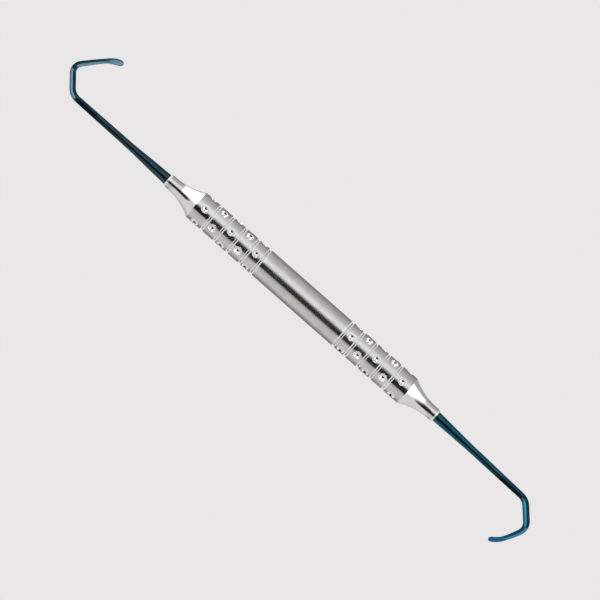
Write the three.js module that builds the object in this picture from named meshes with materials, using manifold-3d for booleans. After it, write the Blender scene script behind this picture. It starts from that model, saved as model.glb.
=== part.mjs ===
// Double-ended periodontal hand scaler: a hollow stainless-steel handle with a blue-coated,
// twice-bent working end brazed into each nose.
// Millimetres. X runs along the handle, both hooks lie level in the XY plane, and the origin is
// under the middle of the handle, on the surface that the handle rests on.
import * as THREE from "three";
import { mergeVertices } from "three/addons/utils/BufferGeometryUtils.js";
import Module from "manifold-3d";

const wasm = await Module();
wasm.setup();

// Handle
const HANDLE_RADIUS = 4.3;
const BORE_RADIUS = 2.9;
const HANDLE_SIDES = 36;
const FIT_GAP = 0.02;

// Grip: grooves on each side of a smooth middle, the first band narrower than the rest, and one row
// of dimples in each band, a little outboard of the band's middle
const FIRST_GROOVE = 14.8;
const FIRST_PITCH = 4.1;
const GROOVE_PITCH = 4.55;
const GROOVE_COUNT = 5;
const GROOVE_WIDTH = 0.94;
const GROOVE_FLOOR = 0.34;
const GROOVE_DEPTH = 0.34;
const DIMPLES_PER_ROW = 5;
const DIMPLE_STEP = (2 * Math.PI) / DIMPLES_PER_ROW;
const DIMPLE_RADIUS = 1.12;
const DIMPLE_DEPTH = 0.85;
const DIMPLE_OFFSET = 0.2;
const DIMPLE_SEGMENTS = 10;
const DIMPLE_RINGS = 8;

// Nose: the last band, a concave flare and a short straight neck, pressed into the handle tube
const SHOULDER_X = 37.95;
const SHOULDER_MARGIN = 0.45;
const FLARE_END_X = 46.7;
const NOSE_END_X = 47.87;
const NECK_RADIUS = 1.95;
const FLARE_LENGTH = FLARE_END_X - SHOULDER_X;
const FLARE_RISE = HANDLE_RADIUS - NECK_RADIUS;
const FLARE_RADIUS = (FLARE_LENGTH ** 2 + FLARE_RISE ** 2) / (2 * FLARE_RISE);
const FLARE_STEPS = 8;
const SPIGOT_LENGTH = 5;
const SPIGOT_CHAMFER = 0.4;
const SEAM_WIDTH = 0.2;

// Brazed joint between the nose and the working end
const TANG_RADIUS = 1.2;
const TANG_LENGTH = 12;
const TANG_CLEARANCE = 0.4;
const BRAZE_WIDTH = 0.4;
const BRAZE_RADIUS = 1.8;
const SHANK_X = NOSE_END_X + BRAZE_WIDTH;

// Working ends: each leg has its length, its bend in degrees and its radius at both ends
const SHANK_SIDES = 14;
const BEND_STEP = 9;
const LEFT_LEGS = [
  { length: 1.5, bend: 0.3, from: 1.58, to: 1.53 },
  { length: 5, bend: 0, from: 1.53, to: 1.35 },
  { length: 6, bend: 0, from: 1.35, to: 1.07 },
  { length: 20.1, bend: 0, from: 1.07, to: 0.91 },
  { length: 3.5, bend: 49.5, from: 0.91, to: 0.89 },
  { length: 4, bend: 0, from: 0.89, to: 0.88 },
  { length: 3.6, bend: 81, from: 0.88, to: 0.82 },
  { length: 6.3, bend: 2.2, from: 0.82, to: 0.67 },
];
const RIGHT_LEGS = [
  { length: 1.5, bend: 1.5, from: 1.5, to: 1.45 },
  { length: 5, bend: 0, from: 1.45, to: 1.26 },
  { length: 6, bend: 0, from: 1.26, to: 1.07 },
  { length: 18.75, bend: 0, from: 1.07, to: 0.9 },
  { length: 3.3, bend: 44.5, from: 0.9, to: 0.95 },
  { length: 4.15, bend: 0, from: 0.95, to: 0.94 },
  { length: 3.8, bend: 68, from: 0.94, to: 0.79 },
  { length: 4.05, bend: 6, from: 0.79, to: 0.68 },
];

// Blades: rounded paddles whose faces turn out of the hook plane, to opposite sides on the two ends
const BLADE_STEPS = 10;
const BLADE_FULL = 0.6;
const TOE_START = 0.8;
const LEFT_BLADE = { length: 5.4, bend: 31, halfWidth: 1.03, halfThickness: 0.42, turn: 52 };
const RIGHT_BLADE = { length: 4.8, bend: 34, halfWidth: 1.03, halfThickness: 0.42, turn: -40 };

const LEFT_DIMPLE_ANGLE = THREE.MathUtils.degToRad(-10.5);
const RIGHT_DIMPLE_ANGLE = THREE.MathUtils.degToRad(-13.5);

const STEEL = { color: 0xb5b2ae, roughness: 0.38, metalness: 1 };
const POLISHED_STEEL = { color: 0xcfcfd0, roughness: 0.16, metalness: 1 };
const BRAZE = { color: 0xe6e3dc, roughness: 0.22, metalness: 1 };
const BLUE_COATING = { color: 0x1f5f78, roughness: 0.24, metalness: 0.9 };

// A solid of revolution about X from [x, radius] points. Its flats touch the true radius, and one
// flat faces straight down.
function turned(points, sides = HANDLE_SIDES) {
  const corner = 1 / Math.cos(Math.PI / sides);
  const profile = points.map(([x, radius]) => new THREE.Vector2(radius * corner, x));
  const geometry = new THREE.LatheGeometry(profile, sides, Math.PI / sides);
  return geometry.rotateZ(-Math.PI / 2);
}

function solid(geometry) {
  const bare = geometry.clone();
  bare.deleteAttribute("normal");
  bare.deleteAttribute("uv");
  const merged = mergeVertices(bare, 1e-4);
  return new wasm.Manifold(
    new wasm.Mesh({
      numProp: 3,
      vertProperties: merged.attributes.position.array,
      triVerts: new Uint32Array(merged.index.array),
    }),
  );
}

function cut(geometry, tools) {
  let body = solid(geometry);
  for (const tool of tools) {
    body = body.subtract(solid(tool));
  }
  const mesh = body.getMesh();
  const result = new THREE.BufferGeometry();
  result.setAttribute("position", new THREE.BufferAttribute(mesh.vertProperties, 3));
  result.setIndex(new THREE.BufferAttribute(mesh.triVerts, 1));
  result.computeVertexNormals();
  return result;
}

function piece(name, geometry, finish) {
  const mesh = new THREE.Mesh(geometry, new THREE.MeshStandardMaterial(finish));
  mesh.name = name;
  return mesh;
}

// One row of spherical dimples round the handle at x, the first at an angle from the top
function dimpleRow(x, angle) {
  const centreRadius = HANDLE_RADIUS + DIMPLE_RADIUS - DIMPLE_DEPTH;
  return Array.from({ length: DIMPLES_PER_ROW }, (_, index) => {
    const ball = new THREE.SphereGeometry(DIMPLE_RADIUS, DIMPLE_SEGMENTS, DIMPLE_RINGS);
    ball.rotateX(Math.PI / 2);
    ball.translate(x, 0, centreRadius);
    return ball.rotateX(angle + index * DIMPLE_STEP);
  });
}

// Rows in alternate bands are turned by half a step.
function dimpleAngle(band, first) {
  const stagger = (GROOVE_COUNT - 1 - band) % 2 ? DIMPLE_STEP / 2 : 0;
  return first + stagger;
}

function grooveX(index) {
  return index ? FIRST_GROOVE + FIRST_PITCH + (index - 1) * GROOVE_PITCH : FIRST_GROOVE;
}

function dimpleX(band) {
  const bandEnd = band < GROOVE_COUNT - 1 ? grooveX(band + 1) : SHOULDER_X - SHOULDER_MARGIN;
  return (grooveX(band) + bandEnd) / 2 + DIMPLE_OFFSET;
}

function groove(x) {
  const floor = HANDLE_RADIUS - GROOVE_DEPTH;
  return [
    [x - GROOVE_WIDTH / 2, HANDLE_RADIUS],
    [x - GROOVE_FLOOR / 2, floor],
    [x + GROOVE_FLOOR / 2, floor],
    [x + GROOVE_WIDTH / 2, HANDLE_RADIUS],
  ];
}

function barrel() {
  const seamX = grooveX(GROOVE_COUNT - 1);
  const endX = seamX - SEAM_WIDTH / 2;
  const half = [];
  for (let index = 0; index < GROOVE_COUNT - 1; index += 1) {
    half.push(...groove(grooveX(index)));
  }
  half.push(...groove(seamX).slice(0, 2), [endX, HANDLE_RADIUS - GROOVE_DEPTH], [endX, BORE_RADIUS]);
  const mirrored = half.map(([x, radius]) => [-x, radius]).reverse();
  const outline = [...mirrored, ...half, mirrored[0]];
  const dimples = [];
  for (let band = 0; band < GROOVE_COUNT - 1; band += 1) {
    dimples.push(...dimpleRow(-dimpleX(band), dimpleAngle(band, LEFT_DIMPLE_ANGLE)));
    dimples.push(...dimpleRow(dimpleX(band), dimpleAngle(band, RIGHT_DIMPLE_ANGLE)));
  }
  return cut(turned(outline), dimples);
}

// Concave flare from the shoulder, running out level into the neck
function flare() {
  return Array.from({ length: FLARE_STEPS + 1 }, (_, step) => {
    const x = THREE.MathUtils.lerp(SHOULDER_X, FLARE_END_X, step / FLARE_STEPS);
    return [x, NECK_RADIUS + FLARE_RADIUS - Math.sqrt(FLARE_RADIUS ** 2 - (FLARE_END_X - x) ** 2)];
  });
}

function nose(firstDimple) {
  const seamX = grooveX(GROOVE_COUNT - 1);
  const backX = seamX + SEAM_WIDTH / 2;
  const spigotRadius = BORE_RADIUS - FIT_GAP;
  const boreRadius = TANG_RADIUS + FIT_GAP;
  const boreEndX = SHANK_X - TANG_LENGTH - TANG_CLEARANCE;
  const outline = [
    [backX - SPIGOT_LENGTH, 0],
    [backX - SPIGOT_LENGTH, spigotRadius - SPIGOT_CHAMFER],
    [backX - SPIGOT_LENGTH + SPIGOT_CHAMFER, spigotRadius],
    [backX, spigotRadius],
    [backX, HANDLE_RADIUS - GROOVE_DEPTH],
    ...groove(seamX).slice(2),
    ...flare(),
    [NOSE_END_X, NECK_RADIUS],
    [NOSE_END_X, boreRadius],
    [boreEndX, boreRadius],
    [boreEndX, 0],
  ];
  const band = GROOVE_COUNT - 1;
  return cut(turned(outline), dimpleRow(dimpleX(band), dimpleAngle(band, firstDimple)));
}

function ring(startX, endX, innerRadius, outerRadius) {
  return turned([
    [startX, innerRadius],
    [startX, outerRadius],
    [endX, outerRadius],
    [endX, innerRadius],
    [startX, innerRadius],
  ]);
}

function seamRing() {
  const seamX = grooveX(GROOVE_COUNT - 1);
  const halfWidth = SEAM_WIDTH / 2 - FIT_GAP;
  return ring(seamX - halfWidth, seamX + halfWidth, BORE_RADIUS, HANDLE_RADIUS - GROOVE_DEPTH);
}

function tangRing() {
  return ring(NOSE_END_X + FIT_GAP, SHANK_X - FIT_GAP, TANG_RADIUS + FIT_GAP, BRAZE_RADIUS);
}

// Place and heading after a distance along the legs of a working end. The hook turns toward -Y.
function walk(legs, distance) {
  const at = { x: SHANK_X - TANG_LENGTH, y: 0, heading: 0 };
  let left = distance;
  for (const leg of legs) {
    const run = Math.min(left, leg.length);
    const turn = THREE.MathUtils.degToRad(-leg.bend) * (run / leg.length);
    const chord = turn ? ((2 * run) / turn) * Math.sin(turn / 2) : run;
    at.x += chord * Math.cos(at.heading + turn / 2);
    at.y += chord * Math.sin(at.heading + turn / 2);
    at.heading += turn;
    left -= run;
  }
  return at;
}

// Half-width and half-thickness of a blade, from its round neck at 0 to its toe at 1
function bladeSection(blade, neckRadius, along) {
  const spread = THREE.MathUtils.smoothstep(along, 0, BLADE_FULL);
  const toe = Math.max(0, (along - TOE_START) / (1 - TOE_START));
  const rounding = Math.sqrt(1 - toe ** 2);
  return {
    halfWidth: THREE.MathUtils.lerp(neckRadius, blade.halfWidth, spread) * rounding,
    halfThickness: THREE.MathUtils.lerp(neckRadius, blade.halfThickness, spread) * rounding,
  };
}

// Sections along the whole end: the tang, the legs and the blade, each at its own distance
function endSections(legs, blade) {
  const sections = [{ distance: 0, halfWidth: 0, halfThickness: 0 }];
  let distance = 0;
  for (const leg of legs) {
    const steps = Math.max(1, Math.ceil(leg.bend / BEND_STEP));
    for (let step = 0; step <= steps; step += 1) {
      const radius = THREE.MathUtils.lerp(leg.from, leg.to, step / steps);
      const here = distance + (leg.length * step) / steps;
      const last = sections.at(-1);
      if (last.distance !== here || last.halfWidth !== radius) {
        sections.push({ distance: here, halfWidth: radius, halfThickness: radius });
      }
    }
    distance += leg.length;
  }
  const neckRadius = legs.at(-1).to;
  for (let step = 1; step <= BLADE_STEPS; step += 1) {
    const along = Math.sin((Math.PI / 2) * (step / BLADE_STEPS));
    const section = bladeSection(blade, neckRadius, along);
    sections.push({ distance: distance + blade.length * along, ...section });
  }
  return sections;
}

// The end is a straight turned blank whose sections are squashed, turned and carried along the path.
function workingEnd(shankLegs, blade) {
  const tang = { length: TANG_LENGTH, bend: 0, from: TANG_RADIUS, to: TANG_RADIUS };
  const legs = [tang, ...shankLegs];
  const sections = endSections(legs, blade);
  const path = [...legs, blade];
  const profile = sections.map((section) => new THREE.Vector2(section.halfWidth, section.distance));
  const blank = new THREE.LatheGeometry(profile, SHANK_SIDES);
  const position = blank.attributes.position;
  const turn = THREE.MathUtils.degToRad(blade.turn);
  const tangent = new THREE.Vector3();
  const inward = new THREE.Vector3();
  const up = new THREE.Vector3(0, 0, 1);
  const point = new THREE.Vector3();
  for (let vertex = 0; vertex < position.count; vertex += 1) {
    const section = sections[vertex % sections.length];
    const squash = section.halfWidth ? section.halfThickness / section.halfWidth : 1;
    const at = walk(path, section.distance);
    tangent.set(Math.cos(at.heading), Math.sin(at.heading), 0);
    inward.crossVectors(tangent, up);
    const face = inward.clone().multiplyScalar(Math.cos(turn)).addScaledVector(up, Math.sin(turn));
    const across = new THREE.Vector3().crossVectors(tangent, face);
    point.set(at.x, at.y, 0);
    point.addScaledVector(across, position.getX(vertex));
    point.addScaledVector(face, position.getZ(vertex) * squash);
    position.setXYZ(vertex, point.x, point.y, point.z);
  }
  blank.computeVertexNormals();
  return blank;
}

// Everything outboard of the handle tube on one side, built toward +X
function endGroup(side, legs, blade, firstDimple) {
  const group = new THREE.Group();
  group.add(piece(`nose_${side}`, nose(firstDimple), POLISHED_STEEL));
  group.add(piece(`seam_ring_${side}`, seamRing(), BRAZE));
  group.add(piece(`tang_ring_${side}`, tangRing(), BRAZE));
  group.add(piece(`working_end_${side}`, workingEnd(legs, blade), BLUE_COATING));
  return group;
}

const scaler = new THREE.Group();
scaler.position.z = HANDLE_RADIUS;
scaler.add(piece("handle_barrel", barrel(), STEEL));
scaler.add(endGroup("right", RIGHT_LEGS, RIGHT_BLADE, RIGHT_DIMPLE_ANGLE));
const leftGroup = endGroup("left", LEFT_LEGS, LEFT_BLADE, -LEFT_DIMPLE_ANGLE);
leftGroup.rotation.z = Math.PI;
scaler.add(leftGroup);

export default scaler;
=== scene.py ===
# Double-ended hand scaler: satin steel handle with turned grooves and ball-milled dimples, polished
# flared noses, silver braze rings and two blue-coated hooked working ends. Metres, in the CAD frame.
import math

import bmesh
import bpy
import numpy as np
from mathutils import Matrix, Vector


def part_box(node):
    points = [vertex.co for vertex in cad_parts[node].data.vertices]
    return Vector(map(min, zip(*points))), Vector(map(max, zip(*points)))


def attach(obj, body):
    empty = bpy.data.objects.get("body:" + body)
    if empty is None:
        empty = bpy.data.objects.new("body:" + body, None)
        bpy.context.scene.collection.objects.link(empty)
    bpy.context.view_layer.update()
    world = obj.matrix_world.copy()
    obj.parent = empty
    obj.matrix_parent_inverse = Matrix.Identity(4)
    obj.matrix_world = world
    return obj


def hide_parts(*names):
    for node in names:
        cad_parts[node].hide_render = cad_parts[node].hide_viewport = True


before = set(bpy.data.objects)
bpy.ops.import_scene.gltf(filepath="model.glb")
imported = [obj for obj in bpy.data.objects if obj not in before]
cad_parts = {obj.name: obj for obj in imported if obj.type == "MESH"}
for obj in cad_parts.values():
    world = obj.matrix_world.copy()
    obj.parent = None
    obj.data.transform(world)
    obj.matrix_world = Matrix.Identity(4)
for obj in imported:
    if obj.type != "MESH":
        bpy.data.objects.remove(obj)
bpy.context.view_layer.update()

BODY = "root"
SIGNS = {"left": -1, "right": 1}
MM = 0.001

# Handle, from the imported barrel
BARREL_LOW, BARREL_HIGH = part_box("handle_barrel")
AXIS_Z = (BARREL_LOW.z + BARREL_HIGH.z) / 2
HANDLE_RADIUS = (BARREL_HIGH.z - BARREL_LOW.z) / 2
BORE_RADIUS = 2.9 * MM
FIT_GAP = 0.02 * MM
SURFACE_SIDES = 216
BAND_STEP = 0.085 * MM
SMOOTH_STEP = 1.0 * MM
SHARP_EDGE = math.radians(32)

# Grip grooves and dimples
SEAM_HALF = 0.1 * MM
SEAM_X = BARREL_HIGH.x + SEAM_HALF
FIRST_PITCH = 4.1 * MM
GROOVE_PITCH = 4.55 * MM
GROOVE_COUNT = 5
GROOVE_DEPTH = 0.34 * MM
GROOVE_FLOOR = 0.34 * MM
GROOVE_INNER_WALL = 0.34 * MM
GROOVE_OUTER_WALL = 0.26 * MM
FLOOR_SHIFT = 0.04 * MM
DIMPLES_PER_ROW = 5
DIMPLE_STEP = 2 * math.pi / DIMPLES_PER_ROW
DIMPLE_RADIUS = 1.12 * MM
DIMPLE_DEPTH = 0.85 * MM
DIMPLE_OFFSET = 0.2 * MM
DIMPLE_RIM = 0.05 * MM
MILLED_FADE = 0.04 * MM
MILLED_ROUGHNESS = 0.08
DIMPLE_ANGLES = {"left": math.radians(-10.5), "right": math.radians(-13.5)}

# Noses and the brazed joints
NOSE_END_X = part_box("nose_right")[1].x
SHOULDER_X = 37.95 * MM
SHOULDER_MARGIN = 0.45 * MM
FLARE_END_X = 46.7 * MM
NECK_RADIUS = 1.95 * MM
FLARE_RISE = HANDLE_RADIUS - NECK_RADIUS
FLARE_RADIUS = ((FLARE_END_X - SHOULDER_X) ** 2 + FLARE_RISE ** 2) / (2 * FLARE_RISE)
FLARE_STEPS = 60
EDGE_ROUNDING = 0.12 * MM
SPIGOT_ROUNDING = 0.4 * MM
SEAM_ROUNDING = 0.03 * MM
CENTRE_RADIUS = 0.2 * MM
TANG_RADIUS = 1.2 * MM
TANG_BORE_DEPTH = 12.4 * MM
NECK_LEVEL = 0.6 * MM
MOUTH_DEPTH = 2 * MM
BRAZE_LOW, BRAZE_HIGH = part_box("tang_ring_right")
BRAZE_RADIUS = (BRAZE_HIGH.z - BRAZE_LOW.z) / 2
BRAZE_BULGE = 0.12 * MM
BRAZE_STEPS = 12
RING_SIDES = 96
SHANK_X = BRAZE_HIGH.x + FIT_GAP

# Working ends: length in mm, bend in degrees, and the radius in mm at both ends of each leg
TANG_LENGTH = 12
SHANK_SIDES = 48
SLICE = 0.3
BEND_SLICE = 4
LEGS = {
    "left": (
        (1.5, 0.3, 1.58, 1.53),
        (5, 0, 1.53, 1.35),
        (6, 0, 1.35, 1.07),
        (20.1, 0, 1.07, 0.91),
        (3.5, 49.5, 0.91, 0.89),
        (4, 0, 0.89, 0.88),
        (3.6, 81, 0.88, 0.82),
        (6.3, 2.2, 0.82, 0.67),
    ),
    "right": (
        (1.5, 1.5, 1.5, 1.45),
        (5, 0, 1.45, 1.26),
        (6, 0, 1.26, 1.07),
        (18.75, 0, 1.07, 0.9),
        (3.3, 44.5, 0.9, 0.95),
        (4.15, 0, 0.95, 0.94),
        (3.8, 68, 0.94, 0.79),
        (4.05, 6, 0.79, 0.68),
    ),
}
BLADES = {
    "left": {"length": 5.4, "bend": 31, "width": 1.03, "back": 0.5, "face": 0.3, "turn": 52},
    "right": {"length": 4.8, "bend": 34, "width": 1.03, "back": 0.5, "face": 0.3, "turn": -40},
}
BLADE_SLICES = 60
BLADE_FULL = 0.6
BLADE_SQUARENESS = 0.25
TOE_START = 0.78
TOE_TRIM = 0.3
DISH_DEPTH = 0.12
DISH_START = 0.18
DISH_FULL = 0.48
DISH_SPAN = 0.78
DISH_POWER = 1.2
SHOULDER_ROUNDING = 0.12
SHOULDER_STEPS = 4

# Where the coating's colour changes, partly its own tint and partly painted light and shade: near and past
# the first bends, and at the right blade
NEAR_BEND_X = (64 * MM, 74 * MM)
PAST_BEND_X = (80.5 * MM, 81.5 * MM)
PAST_BEND_Y = (2 * MM, 3 * MM)
RIGHT_BLADE_Y = (11.5 * MM, 13.5 * MM)

# Camera: a long lens straight above, turned so that the handle runs down to the right
FIELD_WIDTH = 162 * MM
CAMERA_TURN = math.radians(41.41)
CAMERA_DISTANCE = 1.2
CAMERA_AIM = (0.0, -0.75 * MM)
SENSOR_WIDTH = 36.0

# Stage
BACKDROP = (0.81, 0.795, 0.803, 1.0)
FLOOR_HALF = 3.0
FLOOR_DROP = 0.05 * MM

# The tent that lights the metal, by the lean and slope of the facet that mirrors each part of it up
# to the camera. Pairs for skew, reach, flare and power are for the left and the right half. TENT_END
# is how squarely a ray points along X, and after FIRST_MIRRORS a ray sees one even tone.
MIDDLE_TONES = (
    (-90, (0.18, 0.18, 0.18)),
    (-68, (0.3, 0.295, 0.29)),
    (-60, (0.36, 0.35, 0.335)),
    (-50, (0.53, 0.50, 0.485)),
    (-40, (0.61, 0.58, 0.565)),
    (-33, (0.70, 0.68, 0.68)),
    (-25, (0.93, 0.92, 0.93)),
    (-14, (1.15, 1.15, 1.19)),
    (-8, (1.02, 1.02, 1.04)),
    (18, (0.56, 0.54, 0.51)),
    (25, (0.67, 0.645, 0.605)),
    (40, (0.74, 0.72, 0.685)),
    (50, (0.66, 0.64, 0.62)),
    (60, (0.25, 0.245, 0.24)),
    (90, (0.07, 0.07, 0.07)),
)
END_TONES = (
    (-90, (0.5, 0.5, 0.5)),
    (-58, (0.58, 0.575, 0.57)),
    (-51, (2.2, 2.2, 2.2)),
    (0, (2.2, 2.2, 2.2)),
    (5, (0.9, 0.89, 0.87)),
    (50, (0.95, 0.94, 0.92)),
    (70, (0.66, 0.65, 0.64)),
    (90, (0.5, 0.5, 0.5)),
)
UPPER_LEAN = math.radians(-17.2)
LOWER_LEAN = np.radians((8, 14))
UPPER_SKEW = np.radians((-8, 17))
LOWER_SKEW = np.radians((-4, 4))
UPPER_END_SLOPE = np.radians((11.5, 13.5))
LOWER_END_SLOPE = np.radians((0.5, 6))
STEEP_SLOPE = np.radians((33, 36))
STEEP_TONE = (0.8, 0.8, 0.8, 1)
TENT_END = (0.88, 0.93)
TENT_END_TONE = (1.5, 1.5, 1.5, 1)
OPENING_LEAN = math.radians(6.4)
OPENING_HALF = math.radians(9.7)
OPENING_FLARED = np.radians((9.7, 15))
FLARE_SLOPE = np.radians((0.5, 4))
OPENING_REACH = np.radians((23, 20))
OPENING_POWER = (8.0, 2.4)
SOFT_ABOVE = (0.5, 1.66)
SOFT_BELOW = (0.87, 1.12)
OPENING_TONE = (0.02, 0.019, 0.017, 1)
FIRST_MIRRORS = 2.5
AGAIN_TONE = (1.4, 1.4, 1.4, 1)

# Reflector cards curved round the last of each shank and its hook, for the coating to mirror. The
# camera doesn't see them. Each is a start and an end in mm past the first bend's start, then strips:
# the part of the round section that mirrors one, from -1 on the outside of the hook to 1 on its
# inside, and its brightness at the start and at the end.
CARD_DISTANCE = 2.4
CARD_STEPS = 12
HOOK_LEG = 5
PAST_TOE = 6
CARDS = {
    "left": (
        (-16, -7, ((-1, -0.4, 0.65, 0.22),)),
        (-7, 0.8, ((-1, -0.4, 0.22, 0.22), (-0.4, 0.1, 0.06, 0.06), (0.1, 1, 0.5, 0.38))),
        (0.8, 8.7, ((-1, -0.45, 0.75, 0.75), (-0.45, 0.02, 1.4, 1.4), (0.02, 1, 0.12, 0.12))),
        (8.7, 9.9, ((-1, 1, 0.15, 0.15),)),
        (9.9, 17.5, ((-1, 0, 0.14, 0.18), (0, 1, 1.15, 0.95))),
        (17.5, 29, ((-1, 0.4, 0.35, 0.5), (0.4, 0.75, 1.1, 1.15), (0.75, 1, 0.7, 0.75))),
    ),
    "right": (
        (-16, -7, ((0.4, 1, 0.65, 0.2),)),
        (-7, 0.8, ((-1, -0.05, 0.5, 0.5), (-0.05, 1, 0.1, 0.1))),
        (0.8, 9.3, ((-1, -0.05, 0.13, 0.13), (-0.05, 0.42, 1.2, 0.9), (0.42, 1, 0.35, 0.35))),
        (9.3, 15.4, ((-1, 0, 0.75, 0.7), (0, 1, 0.14, 0.2))),
        (15.4, 26, ((-1, 0, 0.48, 0.25), (0, 1, 0.34, 0.2))),
    ),
}


# ---------- meshes ----------

def ring_mesh(name, rings, closed):
    """A mesh skinned over equal rings of points; closed joins the last ring to the first, and
    otherwise a fan caps each end."""
    sides = len(rings[0])
    points = np.concatenate(rings)
    first = np.arange(sides)
    second = np.roll(first, -1)
    faces = []
    for index in range(len(rings) if closed else len(rings) - 1):
        low = index * sides
        high = (index + 1) % len(rings) * sides
        faces += np.stack([low + first, low + second, high + second, high + first], axis=1).tolist()
    if not closed:
        start, end = len(points), len(points) + 1
        points = np.concatenate([points, [rings[0].mean(axis=0)], [rings[-1].mean(axis=0)]])
        last = (len(rings) - 1) * sides
        faces += [[start, second[i], first[i]] for i in range(sides)]
        faces += [[end, last + first[i], last + second[i]] for i in range(sides)]
    mesh = bpy.data.meshes.new(name)
    mesh.from_pydata(points.tolist(), [], faces)
    work = bmesh.new()
    work.from_mesh(mesh)
    bmesh.ops.recalc_face_normals(work, faces=work.faces)
    work.to_mesh(mesh)
    work.free()
    mesh.shade_smooth()
    mesh.set_sharp_from_angle(angle=SHARP_EDGE)
    piece = bpy.data.objects.new(name, mesh)
    bpy.context.scene.collection.objects.link(piece)
    return piece


def finish_piece(piece, node, material):
    piece.data.materials.append(material)
    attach(piece, BODY)
    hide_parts(node)
    return piece


def turned_rings(xs, radii, sides, side=1):
    """Rings round the handle's axis. radii holds one radius, or one per point, for each x, and
    side -1 turns the whole half a turn about Z."""
    angles = np.arange(sides) * (2 * math.pi / sides)
    rings = []
    for x, radius in zip(xs, radii):
        radius = np.broadcast_to(radius, sides)
        y = -radius * np.sin(angles)
        z = AXIS_Z + radius * np.cos(angles)
        rings.append(np.stack([np.full(sides, x) * side, y * side, z], axis=1))
    return rings


def smoothstep(value, low, high):
    t = np.clip((value - low) / (high - low), 0, 1)
    return t * t * (3 - 2 * t)


def smooth_min(a, b, width):
    blend = np.maximum(width - np.abs(a - b), 0) / width
    return np.minimum(a, b) - blend * blend * width / 4


def groove_x(index):
    if index == 0:
        return groove_x(1) - FIRST_PITCH
    return SEAM_X - (GROOVE_COUNT - 1 - index) * GROOVE_PITCH


def dimple_x(band):
    end = groove_x(band + 1) if band < GROOVE_COUNT - 1 else SHOULDER_X - SHOULDER_MARGIN
    return (groove_x(band) + end) / 2 + DIMPLE_OFFSET


def groove_drop(x):
    """How far the turned grooves cut below the handle's surface at x."""
    drop = 0.0
    for index in range(GROOVE_COUNT):
        reach = abs(x) - groove_x(index) - FLOOR_SHIFT
        wall = GROOVE_OUTER_WALL if reach > 0 else GROOVE_INNER_WALL
        rise = min(1, max(0, (abs(reach) - GROOVE_FLOOR / 2) / wall))
        drop = max(drop, GROOVE_DEPTH * (1 - rise))
    return drop


def dimple_angle(band, side):
    stagger = (GROOVE_COUNT - 1 - band) % 2 * DIMPLE_STEP / 2
    return DIMPLE_ANGLES[side] + stagger


def dimpled(radius, x, rows):
    """The surface radius round one ring after the ball cutter has been at the dimple rows, which are
    given as (x, angle of the first dimple)."""
    angles = np.arange(SURFACE_SIDES) * (2 * math.pi / SURFACE_SIDES)
    result = np.full(SURFACE_SIDES, radius)
    centre = HANDLE_RADIUS + DIMPLE_RADIUS - DIMPLE_DEPTH
    for row_x, first in rows:
        away = x - row_x
        if abs(away) > DIMPLE_RADIUS:
            continue
        turn = (angles - first + DIMPLE_STEP / 2) % DIMPLE_STEP - DIMPLE_STEP / 2
        inside = DIMPLE_RADIUS ** 2 - away ** 2 - (centre * np.sin(turn)) ** 2
        depth = centre * np.cos(turn) - np.sqrt(np.maximum(inside, 0))
        result = np.where(inside > 0, smooth_min(result, depth, DIMPLE_RIM), result)
    return result


def grip_stations(low, high):
    """x stations from low to high: fine over the grooves and dimples, coarse over the smooth middle,
    with one on every corner of a groove."""
    reach = GROOVE_FLOOR / 2
    corners = []
    for index in range(GROOVE_COUNT):
        middle = groove_x(index) + FLOOR_SHIFT
        corners += [middle - reach - GROOVE_INNER_WALL, middle - reach, middle + reach,
                    middle + reach + GROOVE_OUTER_WALL]
    smooth_end = corners[0]
    middle_xs = np.arange(-smooth_end, smooth_end, SMOOTH_STEP)
    band_xs = np.arange(smooth_end, SHOULDER_X, BAND_STEP)
    inside = [x for x in (*middle_xs, *band_xs, *-band_xs) if low < x < high]
    stations = [low, high] + [x for x in (*corners, *[-x for x in corners]) if low < x < high]
    stations += [x for x in inside if min(abs(x - kept) for kept in stations) > BAND_STEP / 3]
    return sorted(stations)


def mark_milled(piece, plain, radii):
    """A point attribute that is 1 where the ball cutter has cut below the plain turned surface."""
    values = [np.clip((before - after) / MILLED_FADE, 0, 1) for before, after in zip(plain, radii)]
    values = np.concatenate([np.broadcast_to(value, SURFACE_SIDES) for value in values])
    extra = len(piece.data.vertices) - len(values)
    layer = piece.data.attributes.new("milled", "FLOAT", "POINT")
    layer.data.foreach_set("value", np.append(values, np.zeros(extra)))


def make_barrel(material):
    rows = []
    for band in range(GROOVE_COUNT - 1):
        rows.append((-dimple_x(band), dimple_angle(band, "left")))
        rows.append((dimple_x(band), dimple_angle(band, "right")))
    xs = grip_stations(BARREL_LOW.x, BARREL_HIGH.x)
    plain = [HANDLE_RADIUS - groove_drop(x) for x in xs] + [BORE_RADIUS, BORE_RADIUS]
    radii = [dimpled(radius, x, rows) for radius, x in zip(plain, xs)] + [BORE_RADIUS, BORE_RADIUS]
    xs += [BARREL_HIGH.x, BARREL_LOW.x]
    piece = ring_mesh("grip_barrel", turned_rings(xs, radii, SURFACE_SIDES), closed=True)
    mark_milled(piece, plain, radii)
    return finish_piece(piece, "handle_barrel", material)


def rounded(points, rounding, steps=5):
    """The open outline of (x, radius) points with each inner corner rounded."""
    result = [points[0]]
    for before, corner, after in zip(points, points[1:], points[2:]):
        middle = Vector(corner)
        back = Vector(before) - middle
        ahead = Vector(after) - middle
        reach = min(rounding, back.length * 0.45, ahead.length * 0.45)
        start = middle + back.normalized() * reach
        end = middle + ahead.normalized() * reach
        for step in range(steps + 1):
            t = step / steps
            result.append(tuple(start.lerp(middle, t).lerp(middle.lerp(end, t), t)))
    result.append(points[-1])
    return result


def turned_ring(name, outline):
    """The closed ring that an outline of (x, radius) points makes round the handle's axis."""
    xs, radii = zip(*outline)
    return ring_mesh(name, turned_rings(xs, radii, RING_SIDES), closed=True)


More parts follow.
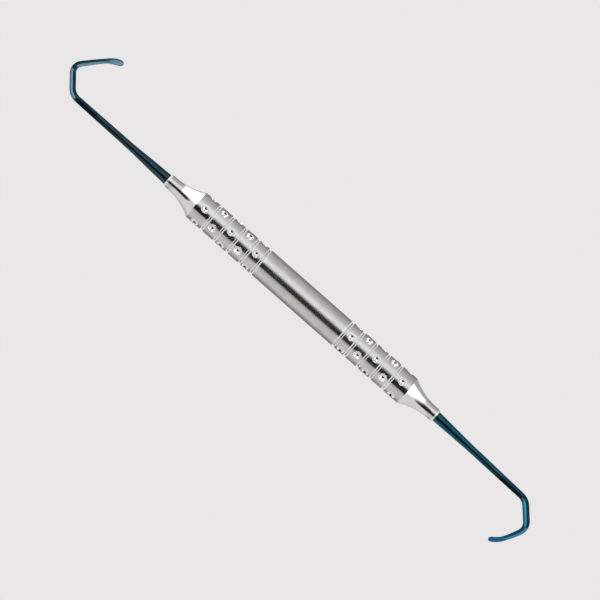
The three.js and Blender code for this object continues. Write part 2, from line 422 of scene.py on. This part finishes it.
def flare_points():
    """The concave flare from the shoulder to where it runs out level in the neck."""
    points = []
    for step in range(FLARE_STEPS + 1):
        x = SHOULDER_X + (FLARE_END_X - SHOULDER_X) * step / FLARE_STEPS
        rise = FLARE_RADIUS - math.sqrt(FLARE_RADIUS ** 2 - (FLARE_END_X - x) ** 2)
        points.append((x, NECK_RADIUS + rise))
    return points


def make_nose(side, material):
    sign = SIGNS[side]
    start_x = SEAM_X + SEAM_HALF
    spigot_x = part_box("nose_right")[0].x
    spigot_radius = BORE_RADIUS - FIT_GAP
    bore_radius = TANG_RADIUS + FIT_GAP
    band = GROOVE_COUNT - 1
    rows = [(dimple_x(band), dimple_angle(band, side) * sign)]
    band_xs = grip_stations(start_x, SHOULDER_X)
    band_plain = [HANDLE_RADIUS - groove_drop(x) for x in band_xs]
    band_radii = [dimpled(radius, x, rows) for radius, x in zip(band_plain, band_xs)]
    spigot = rounded(
        [(spigot_x, CENTRE_RADIUS), (spigot_x, spigot_radius), (start_x, spigot_radius)], SPIGOT_ROUNDING)
    front = rounded(
        [(NOSE_END_X - NECK_LEVEL, NECK_RADIUS), (NOSE_END_X, NECK_RADIUS), (NOSE_END_X, bore_radius),
         (NOSE_END_X - MOUTH_DEPTH, bore_radius)],
        EDGE_ROUNDING)
    bore_end_x = SHANK_X - TANG_BORE_DEPTH
    tail = [(bore_end_x, bore_radius), (bore_end_x, CENTRE_RADIUS)]
    after = flare_points()[1:] + front + tail
    xs = [x for x, _ in spigot] + band_xs + [x for x, _ in after]
    plain = [r for _, r in spigot] + band_plain + [r for _, r in after]
    radii = [r for _, r in spigot] + band_radii + [r for _, r in after]
    piece = ring_mesh(f"grip_nose_{side}", turned_rings(xs, radii, SURFACE_SIDES, sign), closed=False)
    mark_milled(piece, plain, radii)
    return finish_piece(piece, f"nose_{side}", material)


def make_seam(side, material):
    low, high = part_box(f"seam_ring_{side}")
    floor = HANDLE_RADIUS - GROOVE_DEPTH
    inner = BORE_RADIUS + FIT_GAP / 2
    outline = rounded([(low.x, inner), (low.x, floor), (high.x, floor), (high.x, inner)], SEAM_ROUNDING, 3)
    piece = turned_ring(f"seam_{side}", outline)
    return finish_piece(piece, f"seam_ring_{side}", material)


def make_braze(side, material):
    """The bright bead of braze between the nose and the shank."""
    low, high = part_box(f"tang_ring_{side}")
    inner = TANG_RADIUS + FIT_GAP
    middle = (low.x + high.x) / 2
    half = (high.x - low.x) / 2
    outline = [(low.x, inner)]
    for step in range(BRAZE_STEPS + 1):
        angle = math.pi * step / BRAZE_STEPS
        bulge = BRAZE_BULGE * math.sin(angle)
        outline.append((middle - half * math.cos(angle), BRAZE_RADIUS - BRAZE_BULGE + bulge))
    outline.append((high.x, inner))
    piece = turned_ring(f"braze_{side}", outline)
    return finish_piece(piece, f"tang_ring_{side}", material)


# ---------- working ends ----------

def walk(path, distance):
    """Place and heading, in mm and radians, after a distance along the (length, bend) legs."""
    x, y, heading = SHANK_X / MM - TANG_LENGTH, 0.0, 0.0
    left = distance
    for length, bend in path:
        run = min(left, length)
        turn = -math.radians(bend) * run / length
        chord = 2 * run / turn * math.sin(turn / 2) if turn else run
        x += chord * math.cos(heading + turn / 2)
        y += chord * math.sin(heading + turn / 2)
        heading += turn
        left -= run
    return x, y, heading


def round_section(radius):
    angles = np.arange(SHANK_SIDES) * (2 * math.pi / SHANK_SIDES)
    return radius * np.cos(angles), radius * np.sin(angles)


def blade_section(blade, neck, along):
    """Points (across, toward the face) of a spoon: a round back, a rim, and a dish in the face."""
    angles = np.arange(SHANK_SIDES) * (2 * math.pi / SHANK_SIDES)
    spread = float(smoothstep(along, 0, BLADE_FULL))
    toe = max(0.0, (along - TOE_START) / (1 - TOE_START))
    rounding = math.sqrt(max(0.0, 1 - toe ** 2))
    half = (neck + (blade["width"] - neck) * spread) * rounding
    back = (neck + (blade["back"] - neck) * spread) * rounding
    front = (neck + (blade["face"] - neck) * spread) * rounding
    across = np.cos(angles)
    face = np.sin(angles)
    squareness = BLADE_SQUARENESS * spread
    lift = np.where(face > 0, front * face ** (1 - squareness), back * face)
    dish = DISH_DEPTH * smoothstep(along, DISH_START, DISH_FULL) * rounding
    hollow = dish * np.maximum(0, 1 - (across / DISH_SPAN) ** 2) ** DISH_POWER
    return half * across, lift - np.where(face > 0, hollow, 0)


def shoulder_sections(start, radius):
    """The rounded edge where the shank steps out from its tang."""
    sections = []
    for step in range(SHOULDER_STEPS + 1):
        angle = math.pi / 2 * step / SHOULDER_STEPS
        soft = radius - SHOULDER_ROUNDING * (1 - math.sin(angle))
        shift = SHOULDER_ROUNDING * (1 - math.cos(angle))
        sections.append((start + shift, *round_section(soft)))
    return sections


def leg_sections(start, length, bend, radius_from, radius_to):
    """One leg's slices, without the one at its start."""
    slices = max(2, math.ceil(length / SLICE), math.ceil(bend / BEND_SLICE))
    sections = []
    for step in range(1, slices + 1):
        t = step / slices
        radius = radius_from + (radius_to - radius_from) * t
        sections.append((start + length * t, *round_section(radius)))
    return sections


def end_sections(side):
    """(distance, across, toward the face) for every slice from the tang to the toe."""
    tang = TANG_RADIUS / MM
    blade = BLADES[side]
    sections = [(0.0, *round_section(tang))]
    sections += leg_sections(0.0, TANG_LENGTH, 0, tang, tang)
    sections += shoulder_sections(TANG_LENGTH, LEGS[side][0][2])
    start = TANG_LENGTH
    for length, bend, radius_from, radius_to in LEGS[side]:
        sections += leg_sections(start, length, bend, radius_from, radius_to)
        start += length
    for step in range(1, BLADE_SLICES + 1):
        along = math.sin(math.pi / 2 * step / (BLADE_SLICES + TOE_TRIM))
        sections.append((start + blade["length"] * along, *blade_section(blade, radius_to, along)))
    return sections


def end_path(side):
    """The (length, bend) of the tang, every leg and the blade."""
    blade = BLADES[side]
    return [(TANG_LENGTH, 0)] + [leg[:2] for leg in LEGS[side]] + [(blade["length"], blade["bend"])]


def make_end(side, material):
    sign = SIGNS[side]
    path = end_path(side)
    turn = math.radians(BLADES[side]["turn"])
    rings = []
    for distance, across, lift in end_sections(side):
        x, y, heading = walk(path, distance)
        inward = np.array([math.sin(heading), -math.cos(heading), 0])
        up = np.array([0, 0, 1])
        face = inward * math.cos(turn) + up * math.sin(turn)
        wide = inward * math.sin(turn) - up * math.cos(turn)
        ring = np.array([x, y, 0]) + np.outer(across, wide) + np.outer(lift, face)
        rings.append(ring * [sign, sign, 1] * MM + [0, 0, AXIS_Z])
    piece = ring_mesh(f"end_{side}", rings, closed=False)
    return finish_piece(piece, f"working_end_{side}", material)


# ---------- materials ----------

class Nodes:
    """A short way to add and join shader nodes."""

    def __init__(self, tree):
        self.tree = tree
        tree.nodes.clear()

    def add(self, kind, inputs=None, **settings):
        node = self.tree.nodes.new(kind)
        for name, value in settings.items():
            setattr(node, name, value)
        for name, value in (inputs or {}).items():
            self.put(node, name, value)
        return node

    def put(self, node, name, value):
        if isinstance(value, bpy.types.NodeSocket):
            self.tree.links.new(value, node.inputs[name])
        else:
            node.inputs[name].default_value = value

    def math(self, operation, *values):
        node = self.add("ShaderNodeMath", operation=operation)
        for index, value in enumerate(values):
            self.put(node, index, value)
        return node.outputs[0]

    def ramp(self, value, low, high, to_low=0.0, to_high=1.0, smooth=True):
        node = self.add("ShaderNodeMapRange", interpolation_type="SMOOTHSTEP" if smooth else "LINEAR")
        for name, item in zip(("Value", "From Min", "From Max", "To Min", "To Max"),
                              (value, low, high, to_low, to_high)):
            self.put(node, name, item)
        return node.outputs["Result"]

    def mix(self, factor, a, b):
        node = self.add("ShaderNodeMix", data_type="RGBA")
        for index, value in zip((0, 6, 7), (factor, a, b)):
            self.put(node, index, value)
        return node.outputs[2]

    def pick(self, flag, off, on):
        """off where the flag is 0 and on where it is 1."""
        return self.ramp(flag, 0, 1, off, on, smooth=False)

    def scale(self, vector, amount):
        return self.add("ShaderNodeVectorMath", {0: vector, "Scale": amount}, operation="SCALE").outputs[0]

    def noise(self, vector, scale, detail=2.0, roughness=0.5):
        return self.add(
            "ShaderNodeTexNoise",
            {"Vector": vector, "Scale": scale, "Detail": detail, "Roughness": roughness},
        ).outputs["Fac"]


def new_material(name):
    material = bpy.data.materials.new(name)
    material.use_nodes = True
    return material, Nodes(material.node_tree)


def stretched(nodes, vector, factors):
    node = nodes.add("ShaderNodeVectorMath", operation="MULTIPLY")
    nodes.put(node, 0, vector)
    node.inputs[1].default_value = factors
    return node.outputs[0]


def steel(name, colour, roughness, grain):
    """Turned stainless steel: fine marks round the axis, a faint mottle and brighter worn rims."""
    material, nodes = new_material(name)
    place = nodes.add("ShaderNodeTexCoord").outputs["Object"]
    turned = stretched(nodes, place, (9000, 700, 700))
    lines = nodes.noise(turned, 1.0, 3.0, 0.6)
    mottle = nodes.noise(place, 260.0, 3.0, 0.55)
    wear = nodes.ramp(nodes.add("ShaderNodeNewGeometry").outputs["Pointiness"], 0.505, 0.56)
    tone = nodes.ramp(mottle, 0.3, 0.7, 0.94, 1.04)
    bright = nodes.mix(wear, nodes.scale(colour, tone), (0.85, 0.85, 0.84, 1))
    rough = nodes.math("ADD", nodes.ramp(lines, 0.25, 0.75, -0.04, 0.05), roughness)
    rough = nodes.math("SUBTRACT", rough, nodes.math("MULTIPLY", wear, roughness * 0.4))
    milled = nodes.add("ShaderNodeAttribute", attribute_name="milled").outputs["Fac"]
    rough = nodes.pick(milled, rough, MILLED_ROUGHNESS)
    bump = nodes.add("ShaderNodeBump", {"Strength": grain, "Distance": 0.000004, "Height": lines})
    shader = nodes.add(
        "ShaderNodeBsdfPrincipled",
        {"Base Color": bright, "Metallic": 1.0, "Roughness": rough, "Normal": bump.outputs[0]},
    )
    nodes.add("ShaderNodeOutputMaterial", {"Surface": shader.outputs[0]})
    return material


def coating():
    """Blue hard coating, a little greyer on the left end and lighter past the bends, which is partly its
    own tint and partly painted light and shade, with painted shade where it is seen edge on, and faint
    drawn marks along it."""
    material, nodes = new_material("blue_hard_coating")
    place = nodes.add("ShaderNodeTexCoord").outputs["Object"]
    axes = nodes.add("ShaderNodeSeparateXYZ", {0: place})
    out = nodes.math("ABSOLUTE", axes.outputs["X"])
    aside = nodes.math("ABSOLUTE", axes.outputs["Y"])
    past_bend = nodes.math("MAXIMUM", nodes.ramp(out, *PAST_BEND_X), nodes.ramp(aside, *PAST_BEND_Y))
    near_bend = nodes.ramp(out, *NEAR_BEND_X)
    at_blade = nodes.ramp(aside, *RIGHT_BLADE_Y)
    right = nodes.math("GREATER_THAN", axes.outputs["X"], 0.0)
    tint = nodes.ramp(nodes.noise(place, 330.0, 2.0), 0.35, 0.65, 0.9, 1.12)
    # Shank and hook colours are partly the coating's tint and partly painted light and shade: lighter past
    # the bends, greyer on the left end and bluer at the right blade.
    right_shank_tint_and_shade = nodes.mix(near_bend, (0.0145, 0.095, 0.14, 1), (0.034, 0.09, 0.115, 1))
    right_hook_tint_and_light = nodes.mix(at_blade, (0.066, 0.295, 0.46, 1), (0.055, 0.225, 0.44, 1))
    shank_tint_and_shade = nodes.mix(right, (0.027, 0.062, 0.082, 1), right_shank_tint_and_shade)
    hook_tint_and_light = nodes.mix(right, (0.105, 0.215, 0.3, 1), right_hook_tint_and_light)
    # Painted shade: the colour darkens to near black where the surface is seen edge on.
    facing = nodes.add("ShaderNodeLayerWeight", {"Blend": 0.5}).outputs["Facing"]
    painted_edge_shade = nodes.ramp(facing, 0.55, 0.9, 0, 0.8)
    colour = nodes.mix(painted_edge_shade, nodes.mix(past_bend, shank_tint_and_shade, hook_tint_and_light), (0.004, 0.012, 0.02, 1))
    tinted = nodes.scale(colour, tint)
    marks = nodes.noise(stretched(nodes, place, (1200, 6000, 6000)), 1.0, 2.0)
    rough = nodes.ramp(marks, 0.3, 0.7, 0.13, 0.2)
    bump = nodes.add("ShaderNodeBump", {"Strength": 0.25, "Distance": 0.000003, "Height": marks})
    shader = nodes.add(
        "ShaderNodeBsdfPrincipled",
        {"Base Color": tinted, "Metallic": 1.0, "Roughness": rough, "Normal": bump.outputs[0]},
    )
    nodes.add("ShaderNodeOutputMaterial", {"Surface": shader.outputs[0]})
    return material


# ---------- stage ----------

def make_floor():
    """A plain pale light table. The lens sees it evenly lit, and the metal sees the tent through it."""
    material, nodes = new_material("pale_floor")
    path = nodes.add("ShaderNodeLightPath")
    lit = nodes.add("ShaderNodeEmission", {"Color": BACKDROP, "Strength": 1.0})
    clear = nodes.add("ShaderNodeBsdfTransparent")
    sides = {0: path.outputs["Is Camera Ray"], 1: clear.outputs[0], 2: lit.outputs[0]}
    chosen = nodes.add("ShaderNodeMixShader", sides)
    nodes.add("ShaderNodeOutputMaterial", {"Surface": chosen.outputs[0]})
    corners = [(x * FLOOR_HALF, y * FLOOR_HALF, 0) for x, y in ((-1, -1), (1, -1), (1, 1), (-1, 1))]
    mesh = bpy.data.meshes.new("floor")
    mesh.from_pydata(corners, [], [(0, 1, 2, 3)])
    floor = bpy.data.objects.new("floor", mesh)
    floor.location.z = -FLOOR_DROP
    mesh.materials.append(material)
    bpy.context.scene.collection.objects.link(floor)


def strip_points(side, path, distances, low, high):
    """One card's points. It stands where the round section throws the lens's rays, a little short
    of twice the facet's own tilt because the cards are close."""
    hook_radius = LEGS[side][HOOK_LEG - 1][2]
    tilt = np.linspace(math.asin(low), math.asin(high), CARD_STEPS + 1)
    angles = 2 * tilt - np.arcsin(hook_radius / CARD_DISTANCE * np.sin(tilt))
    points = []
    for distance in distances:
        x, y, heading = walk(path, distance)
        inward = np.array([math.sin(heading), -math.cos(heading)])
        for angle in angles:
            foot = (np.array([x, y]) + inward * CARD_DISTANCE * math.sin(angle)) * SIGNS[side] * MM
            points.append((*foot, AXIS_Z + CARD_DISTANCE * math.cos(angle) * MM))
    return points


def make_cards(side, material):
    """The curved strips round one hook."""
    path = end_path(side) + [(PAST_TOE, 0)]
    first_bend = sum(length for length, _ in path[:HOOK_LEG])
    wide = CARD_STEPS + 1
    points, faces, tones = [], [], []
    for start, end, strips in CARDS[side]:
        distances = np.linspace(first_bend + start, first_bend + end, wide)
        for low, high, tone_from, tone_to in strips:
            corner = len(points)
            points += strip_points(side, path, distances, low, high)
            tones += np.repeat(np.linspace(tone_from, tone_to, wide), wide).tolist()
            for row in range(CARD_STEPS):
                for column in range(CARD_STEPS):
                    place = corner + row * wide + column
                    faces.append((place, place + 1, place + wide + 1, place + wide))
    mesh = bpy.data.meshes.new(f"cards_{side}")
    mesh.from_pydata(points, [], faces)
    mesh.attributes.new("tone", "FLOAT", "POINT").data.foreach_set("value", tones)
    mesh.materials.append(material)
    cards = bpy.data.objects.new(f"cards_{side}", mesh)
    cards.visible_camera = False
    bpy.context.scene.collection.objects.link(cards)


def card_material():
    """Bright cards are a little warm and dark ones bluish."""
    material, nodes = new_material("reflector_card")
    tone = nodes.add("ShaderNodeAttribute", attribute_name="tone").outputs["Fac"]
    tint = nodes.mix(nodes.ramp(tone, 0.15, 0.9), (0.55, 1, 1.15, 1), (1.06, 1, 0.97, 1))
    lit = nodes.add("ShaderNodeEmission", {"Color": tint, "Strength": tone})
    nodes.add("ShaderNodeOutputMaterial", {"Surface": lit.outputs[0]})
    return material


def tone_ramp(nodes, lean, stops):
    """Colour by a facet's lean toward -Y: stops of (degrees, colour)."""
    position = nodes.ramp(lean, -math.pi / 2, math.pi / 2, smooth=False)
    node = nodes.add("ShaderNodeValToRGB", {"Fac": position})
    elements = node.color_ramp.elements
    while len(elements) < len(stops):
        elements.new(0.5)
    for element, (degrees, colour) in zip(elements, stops):
        element.position = degrees / 180 + 0.5
        element.color = (*colour, 1)
    return node.outputs["Color"]


def tent_wall(nodes, lean, slope, right):
    """The tent without its opening: one run of tones for the level of the handle and another for
    what slopes toward its ends, turned a little apart on the two sides."""
    middle = tone_ramp(nodes, lean, MIDDLE_TONES)
    upper = nodes.math("LESS_THAN", lean, UPPER_LEAN)
    skew = nodes.pick(upper, nodes.pick(right, *LOWER_SKEW), nodes.pick(right, *UPPER_SKEW))
    ends = tone_ramp(nodes, nodes.math("SUBTRACT", lean, skew), END_TONES)
    lower = nodes.ramp(lean, *LOWER_LEAN)
    ends_from = nodes.pick(lower, UPPER_END_SLOPE[0], LOWER_END_SLOPE[0])
    ends_to = nodes.pick(lower, UPPER_END_SLOPE[1], LOWER_END_SLOPE[1])
    wall = nodes.mix(nodes.ramp(slope, ends_from, ends_to), middle, ends)
    return nodes.mix(nodes.ramp(slope, *STEEP_SLOPE), wall, STEEP_TONE)


def tent_opening(nodes, lean, slope, right):
    """1 inside the tent's dark opening, which is a streak along the handle: soft above and sharper
    below, and wider toward the right end."""
    along = nodes.math("DIVIDE", slope, nodes.pick(right, *OPENING_REACH))
    flared = nodes.pick(right, *OPENING_FLARED)
    half = nodes.ramp(slope, *FLARE_SLOPE, OPENING_HALF, flared)
    across = nodes.math("DIVIDE", nodes.math("SUBTRACT", lean, OPENING_LEAN), half)
    above = nodes.math("LESS_THAN", across, 0.0)
    along = nodes.math("POWER", along, nodes.pick(right, *OPENING_POWER))
    off = nodes.math("SQRT", nodes.math("ADD", along, nodes.math("MULTIPLY", across, across)))
    soft_from = nodes.pick(above, SOFT_BELOW[0], SOFT_ABOVE[0])
    soft_to = nodes.pick(above, SOFT_BELOW[1], SOFT_ABOVE[1])
    return nodes.ramp(off, soft_from, soft_to, 1.0, 0.0)


def make_light():
    """A studio tent as a world, laid out by the facet that mirrors each part of it up to the camera:
    lean is the facet's tilt toward -Y, and slope its tilt toward either end of the handle."""
    world = bpy.data.worlds.new("studio_tent")
    bpy.context.scene.world = world
    world.use_nodes = True
    world.cycles.sampling_method = "NONE"
    nodes = Nodes(world.node_tree)
    way = nodes.add("ShaderNodeTexCoord").outputs["Generated"]
    raised = nodes.add("ShaderNodeVectorMath", {0: way, 1: (0, 0, 1.0001)}, operation="ADD").outputs[0]
    facet = nodes.add("ShaderNodeVectorMath", {0: raised}, operation="NORMALIZE").outputs[0]
    axes = nodes.add("ShaderNodeSeparateXYZ", {0: facet})
    lean = nodes.math("ARCTAN2", nodes.math("MULTIPLY", axes.outputs["Y"], -1.0), axes.outputs["Z"])
    slope = nodes.math("ARCSINE", nodes.math("ABSOLUTE", axes.outputs["X"]))
    right = nodes.math("GREATER_THAN", axes.outputs["X"], 0.0)
    tent = tent_wall(nodes, lean, slope, right)
    along = nodes.math("ABSOLUTE", nodes.add("ShaderNodeSeparateXYZ", {0: way}).outputs["X"])
    tent = nodes.mix(nodes.ramp(along, *TENT_END), tent, TENT_END_TONE)
    tent = nodes.mix(tent_opening(nodes, lean, slope, right), tent, OPENING_TONE)
    path = nodes.add("ShaderNodeLightPath")
    again = nodes.math("GREATER_THAN", path.outputs["Ray Depth"], FIRST_MIRRORS)
    tent = nodes.mix(again, tent, AGAIN_TONE)
    seen = nodes.mix(path.outputs["Is Camera Ray"], tent, BACKDROP)
    background = nodes.add("ShaderNodeBackground", {"Color": seen, "Strength": 1.0})
    nodes.add("ShaderNodeOutputWorld", {"Surface": background.outputs[0]})


def make_camera():
    data = bpy.data.cameras.new("camera")
    data.sensor_width = SENSOR_WIDTH
    data.lens = SENSOR_WIDTH * CAMERA_DISTANCE / FIELD_WIDTH
    data.clip_start = 0.01
    data.clip_end = 10
    camera = bpy.data.objects.new("camera", data)
    camera.location = (*CAMERA_AIM, AXIS_Z + CAMERA_DISTANCE)
    camera.rotation_euler = (0, 0, CAMERA_TURN)
    bpy.context.scene.collection.objects.link(camera)
    bpy.context.scene.camera = camera


def main():
    satin = steel("satin_steel", (0.65, 0.65, 0.645), 0.19, 0.08)
    polished = steel("polished_steel", (0.66, 0.66, 0.655), 0.12, 0.15)
    silver = steel("silver_braze", (0.86, 0.85, 0.83), 0.2, 0.1)
    blue = coating()
    card = card_material()
    make_barrel(satin)
    for side in ("left", "right"):
        make_nose(side, polished)
        make_seam(side, silver)
        make_braze(side, silver)
        make_end(side, blue)
        make_cards(side, card)
    make_floor()
    make_light()
    make_camera()
    bpy.context.scene.view_settings.view_transform = "Standard"


main()
